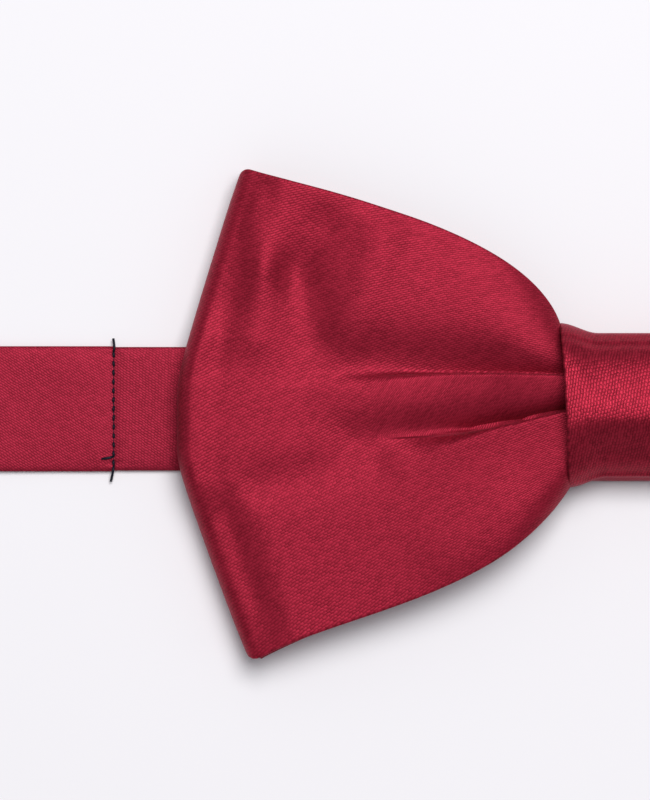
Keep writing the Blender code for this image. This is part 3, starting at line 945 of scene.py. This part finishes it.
def plated(name):
    """Nickel plate over stamped steel, with fine tumbling marks and duller patches. Its colour
    is lighter where the surface turns away from the view: a painted sheen at grazing angles.
    """
    made, tree, shader = new_finish(name)
    place = tree.nodes.new("ShaderNodeTexCoord")
    marks = noise_node(tree, place.outputs["Object"], 900.0, 5.0)
    spread = tree.nodes.new("ShaderNodeMapRange")
    spread.inputs["To Min"].default_value = 0.16
    spread.inputs["To Max"].default_value = 0.34
    tree.links.new(marks.outputs["Fac"], spread.inputs["Value"])
    tree.links.new(spread.outputs["Result"], shader.inputs["Roughness"])
    # Painted sheen: the colour runs from dark where the plate faces the view to light where it
    # turns away.
    edge = tree.nodes.new("ShaderNodeLayerWeight")
    edge.inputs["Blend"].default_value = 0.35
    two_tones(tree, shader, edge.outputs["Facing"], (0.70, 0.68, 0.64), (0.86, 0.85, 0.83))
    raised(tree, shader, marks.outputs["Fac"], 0.000006)
    shader.inputs["Metallic"].default_value = 1.0
    return made


NICKEL = plated("nickel_plate")
PLATE = 0.8
PLATE_EDGE = 0.18
FRAME_HALF = 9.8
FRAME_INSIDE = 8.1
BAR_HALF = 0.6  # of the bar that the strap turns round
SLOT_FAR = 3.4  # of the far side of its slot, from the bar's middle


def rounded_window(x0, x1, half, radius):
    """A rounded rectangle (x0..x1, -half..half), counter-clockwise from its +X side."""
    corners = ((x1, half, 0), (x0, half, 90), (x0, -half, 180), (x1, -half, 270))
    found = []
    for x, y, first in corners:
        cx = x - radius if x == x1 else x + radius
        cy = y - math.copysign(radius, y)
        for angle in np.radians(np.linspace(first, first + 90, 7)):
            found.append((cx + radius * math.cos(angle), cy + radius * math.sin(angle)))
    return found


def stamping(name, outlines, level, shift, side):
    """A plate with rounded edges at height level: its outline, then its windows, laid out
    from x = shift towards side, which is 1 or -1."""
    flat = bpy.data.curves.new(name, "CURVE")
    flat.dimensions = "2D"
    flat.fill_mode = "BOTH"
    flat.extrude = (PLATE / 2 - PLATE_EDGE) * MM
    flat.bevel_depth = PLATE_EDGE * MM
    flat.bevel_resolution = 2
    flat.offset = -PLATE_EDGE * MM
    for outline in outlines:
        spline = flat.splines.new("POLY")
        spline.use_cyclic_u = True
        spline.points.add(len(outline) - 1)
        for corner, (x, y) in zip(spline.points, outline):
            corner.co = ((shift + side * x) * MM, y * MM, 0.0, 1.0)
    holder = bpy.data.objects.new(name + "_outline", flat)
    bpy.context.scene.collection.objects.link(holder)
    graph = bpy.context.evaluated_depsgraph_get()
    shape = bpy.data.meshes.new_from_object(holder.evaluated_get(graph))
    shape.name = name
    bpy.data.objects.remove(holder)
    places = np.empty(len(shape.vertices) * 3)
    shape.vertices.foreach_get("co", places)
    places = places.reshape(-1, 3) + (0.0, 0.0, level * MM)
    shape.vertices.foreach_set("co", places.ravel())
    shape.materials.clear()
    shape.materials.append(NICKEL)
    shape.shade_smooth()
    shape.set_sharp_from_angle(angle=math.radians(40.0))
    made = bpy.data.objects.new(name, shape)
    bpy.context.scene.collection.objects.link(made)
    return made


eye_plate = stamping(
    "eye_plate",
    [
        rounded_window(-BAR_HALF, 11.2, FRAME_HALF, 0.55),
        rounded_window(BAR_HALF, SLOT_FAR, FRAME_INSIDE, 0.5),
        rounded_window(4.8, 9.8, 3.5, 0.9),
    ],
    BAR_Z,
    -BAR_X,
    -1.0,
)
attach(eye_plate, "eye")
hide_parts("eye")

slider_plate = stamping(
    "slider_plate",
    [
        rounded_window(-6.2, 6.2, FRAME_HALF, 0.9),
        rounded_window(-4.8, -0.45, FRAME_INSIDE, 0.5),
        rounded_window(0.45, 4.8, FRAME_INSIDE, 0.5),
    ],
    SLIDER_Z,
    SLIDER_X,
    1.0,
)
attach(slider_plate, "adjuster")
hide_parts("slider")

hook_plate = stamping(
    "hook_plate",
    [
        rounded_window(-BAR_HALF, 5.4, FRAME_HALF, 0.55),
        rounded_window(BAR_HALF, SLOT_FAR, FRAME_INSIDE, 0.5),
    ],
    BAR_Z,
    BAR_X,
    1.0,
)
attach(hook_plate, "hook")
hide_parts("hook")

# The hook's tongue, bent down and back under itself.
TONGUE_HALF = 2.0
TONGUE_BEND = 0.85  # radius, along the middle of the metal
bend_x = BAR_X + 11.5
low_z = BAR_Z - 2.0 * TONGUE_BEND
tongue_path = np.concatenate(
    [
        route([(BAR_X + 4.9, BAR_Z), (bend_x - 0.1, BAR_Z)], 0.8),
        swing(bend_x, BAR_Z - TONGUE_BEND, TONGUE_BEND, 90, -90, 10),
        route([(bend_x, low_z), (bend_x - 2.9, low_z)], 0.8),
    ]
)
tongue = flat_strip("hook_tongue", tongue_path, TONGUE_HALF, NICKEL, thick=PLATE)
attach(tongue, "hook")

# ---------------------------------------------------------------------------
# Stage: a white tabletop, one wide soft light overhead and a little from the top edge,
# and a long lens straight above the left wing.
# ---------------------------------------------------------------------------
FLOOR_HALF = 1.5
FLOOR_LEVEL = -0.0001  # just under the band, so that the two faces don't coincide
floor_mesh = bpy.data.meshes.new("tabletop")
floor_corners = [(-1, -1), (1, -1), (1, 1), (-1, 1)]
floor_mesh.from_pydata(
    [(FLOOR_HALF * x, FLOOR_HALF * y, FLOOR_LEVEL) for x, y in floor_corners], [], [(0, 1, 2, 3)]
)
floor = bpy.data.objects.new("tabletop", floor_mesh)
bpy.context.scene.collection.objects.link(floor)
paper, _, paper_shader = new_finish("white_tabletop")
paper_shader.inputs["Base Color"].default_value = (0.88, 0.86, 0.885, 1.0)
paper_shader.inputs["Roughness"].default_value = 0.6
floor_mesh.materials.append(paper)

world = bpy.data.worlds.new("studio")
world.use_nodes = True
sky = world.node_tree.nodes["Background"]
sky.inputs["Color"].default_value = (0.93, 0.94, 1.0, 1.0)
sky.inputs["Strength"].default_value = 0.30
bpy.context.scene.world = world


def softbox(name, place, size, watts):
    """A square soft light that faces the bow."""
    light = bpy.data.lights.new(name, "AREA")
    light.shape = "SQUARE"
    light.size = size
    light.energy = watts
    made = bpy.data.objects.new(name, light)
    made.location = place
    towards = np.array((-0.03, 0.0, 0.0)) - np.array(place)
    reach = np.linalg.norm(towards)
    made.rotation_euler = (
        math.acos(-towards[2] / reach),
        0.0,
        math.atan2(towards[1], towards[0]) - math.pi / 2,
    )
    bpy.context.scene.collection.objects.link(made)


softbox("overhead_softbox", (0.12, 0.42, 1.2), 0.7, 14.6)

CAMERA_HEIGHT = 1.0
VIEW_HEIGHT = 0.100  # of the area in view, at the bow's own height
BOW_LEVEL = 0.004
lens = bpy.data.cameras.new("camera")
lens.sensor_width = 36.0
lens.lens = lens.sensor_width * (CAMERA_HEIGHT - BOW_LEVEL) / VIEW_HEIGHT
lens.clip_end = 20.0
camera = bpy.data.objects.new("camera", lens)
camera.location = (-0.0419, 0.0011, CAMERA_HEIGHT)
bpy.context.scene.collection.objects.link(camera)
bpy.context.scene.camera = camera
bpy.context.scene.view_settings.view_transform = "Standard"
